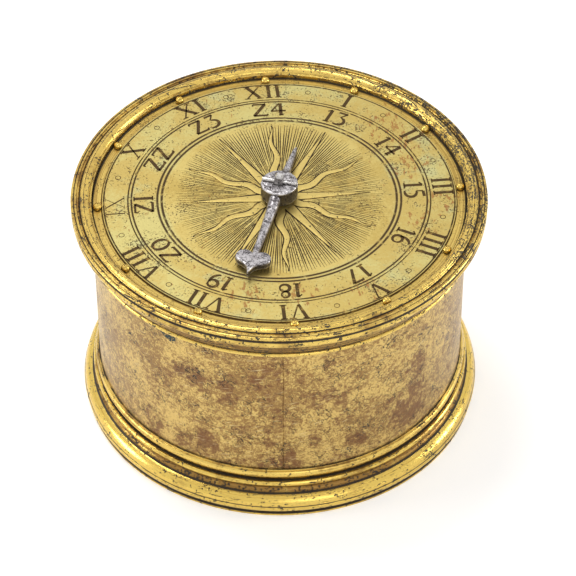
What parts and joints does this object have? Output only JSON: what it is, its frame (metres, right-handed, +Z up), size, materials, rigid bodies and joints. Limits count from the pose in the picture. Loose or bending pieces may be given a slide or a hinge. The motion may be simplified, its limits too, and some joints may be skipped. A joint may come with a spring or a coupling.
{
  "type": "table clock",
  "caption": "Drum-shaped table clock with a horizontal dial, raised touch pins, a single iron hand and a hinged base cover over a verge movement.",
  "frame": {"origin": "centre of the circle on which the clock stands, at the underside of the base cover", "axes": "+Z up through the centre of the dial, +Y towards the twelve o'clock pin and the hinge of the base cover"},
  "size_m": [0.0664, 0.0664, 0.0443],
  "materials": {
    "gilt_brass": "worn fire gilding with dark grime in the grooves",
    "brass_drum": "rubbed gilding with brown and violet patina",
    "dial_brass": "pale pitted brass with dark filled engraving",
    "plain_brass": "dull plain brass",
    "iron": "filed wrought iron, darkened",
    "hand_iron": "pitted grey wrought iron with darker hollows",
    "spring_steel": "blued and dulled spring steel"
  },
  "bodies": {
    "case": {"drum_band": "brass_drum", "rim_moulding": "gilt_brass", "foot_bead": "gilt_brass", "case_knuckle": "gilt_brass", "hinge_pin": "iron", "bezel_ring": "gilt_brass", "dial_plate": "dial_brass", "touch_pins": "gilt_brass", "dial_feet": "plain_brass", "dial_foot_pins": "iron", "top_plate": "iron", "bottom_plate": "iron", "pillars": "iron", "pillar_pins": "iron", "spring_post": "iron", "mainspring": "spring_steel", "snail_stud": "iron", "stackfreed_spring": "spring_steel", "roller_pin": "iron", "potence": "iron", "counter_potence": "iron", "balance_cock": "iron", "plate_screws": "iron"},
    "base_cover": {"base_moulding": "gilt_brass", "base_floor": "plain_brass", "cover_knuckles": "gilt_brass"},
    "great_wheel_assembly": {"great_wheel": "iron", "click_stud": "iron", "click_spring": "spring_steel"},
    "click_lever": {"click": "iron"},
    "winding": {"winding_arbor": "iron", "ratchet_wheel": "iron", "snail_pinion": "iron"},
    "snail_assembly": {"snail_wheel": "iron", "snail": "iron"},
    "stackfreed_roller": {"roller": "plain_brass"},
    "second_assembly": {"second_wheel": "iron", "second_arbor": "iron", "report_pinion": "iron"},
    "contrate_assembly": {"contrate_wheel": "iron", "contrate_arbor": "iron"},
    "crown_assembly": {"crown_wheel": "iron", "crown_arbor": "iron"},
    "balance_assembly": {"verge": "iron", "balance_wheel": "iron"},
    "hour_wheel_assembly": {"hour_wheel": "iron"},
    "hand_assembly": {"hour_arbor": "iron", "hour_hand": "hand_iron", "hand_pin": "iron", "friction_washer": "spring_steel"}
  },
  "joints": [
    {"name": "cover_hinge", "type": "hinge", "parent": "case", "child": "base_cover", "pos_m": [0, 0.0319, 0.0066], "axis": [1, 0, 0], "range_deg": [0, 95]},
    {"name": "contrate_turn", "type": "hinge", "parent": "case", "child": "contrate_assembly", "pos_m": [0.01225, -0.00605, 0.02], "axis": [0, 0, 1], "continuous": true},
    {"name": "second_turn", "type": "hinge", "parent": "case", "child": "second_assembly", "pos_m": [0.00315, -0.01368, 0.02], "axis": [0, 0, 1], "continuous": true},
    {"name": "great_turn", "type": "hinge", "parent": "case", "child": "great_wheel_assembly", "pos_m": [-0.009, -0.007, 0.02], "axis": [0, 0, 1], "continuous": true},
    {"name": "hour_turn", "type": "hinge", "parent": "case", "child": "hour_wheel_assembly", "pos_m": [0, 0, 0.036], "axis": [0, 0, 1], "continuous": true},
    {"name": "crown_turn", "type": "hinge", "parent": "case", "child": "crown_assembly", "pos_m": [0.00908, 0.00075, 0.0242], "axis": [-0.4226, 0.9063, 0], "continuous": true},
    {"name": "hand_set", "type": "hinge", "parent": "hour_wheel_assembly", "child": "hand_assembly", "pos_m": [0, 0, 0.04], "axis": [0, 0, 1], "continuous": true},
    {"name": "balance_swing", "type": "hinge", "parent": "case", "child": "balance_assembly", "pos_m": [0.00618, 0.00696, 0.009], "axis": [0, 0, 1], "range_deg": [-50, 50]},
    {"name": "winding_turn", "type": "hinge", "parent": "case", "child": "winding", "pos_m": [-0.009, -0.007, 0.02], "axis": [0, 0, 1], "range_deg": [-1080, 0]},
    {"name": "snail_turn", "type": "hinge", "parent": "case", "child": "snail_assembly", "pos_m": [-0.0045, -0.0148, 0.009], "axis": [0, 0, 1], "range_deg": [-0.5, 270.5]},
    {"name": "click_swing", "type": "hinge", "parent": "great_wheel_assembly", "child": "click_lever", "pos_m": [-0.0012, -0.00416, 0.02], "axis": [0, 0, 1], "range_deg": [-12, 0]},
    {"name": "roller_turn", "type": "hinge", "parent": "case", "child": "stackfreed_roller", "pos_m": [-0.00653, -0.02149, 0.009], "axis": [0, 0, 1], "continuous": true}
  ],
  "couplings": [
    {"joint": "second_turn", "follows": "contrate_turn", "ratio": -0.1},
    {"joint": "great_turn", "follows": "contrate_turn", "ratio": 0.0125},
    {"joint": "hour_turn", "follows": "contrate_turn", "ratio": 0.0083333},
    {"joint": "crown_turn", "follows": "contrate_turn", "ratio": 8},
    {"joint": "snail_turn", "follows": "winding_turn", "ratio": -0.25}
  ]
}
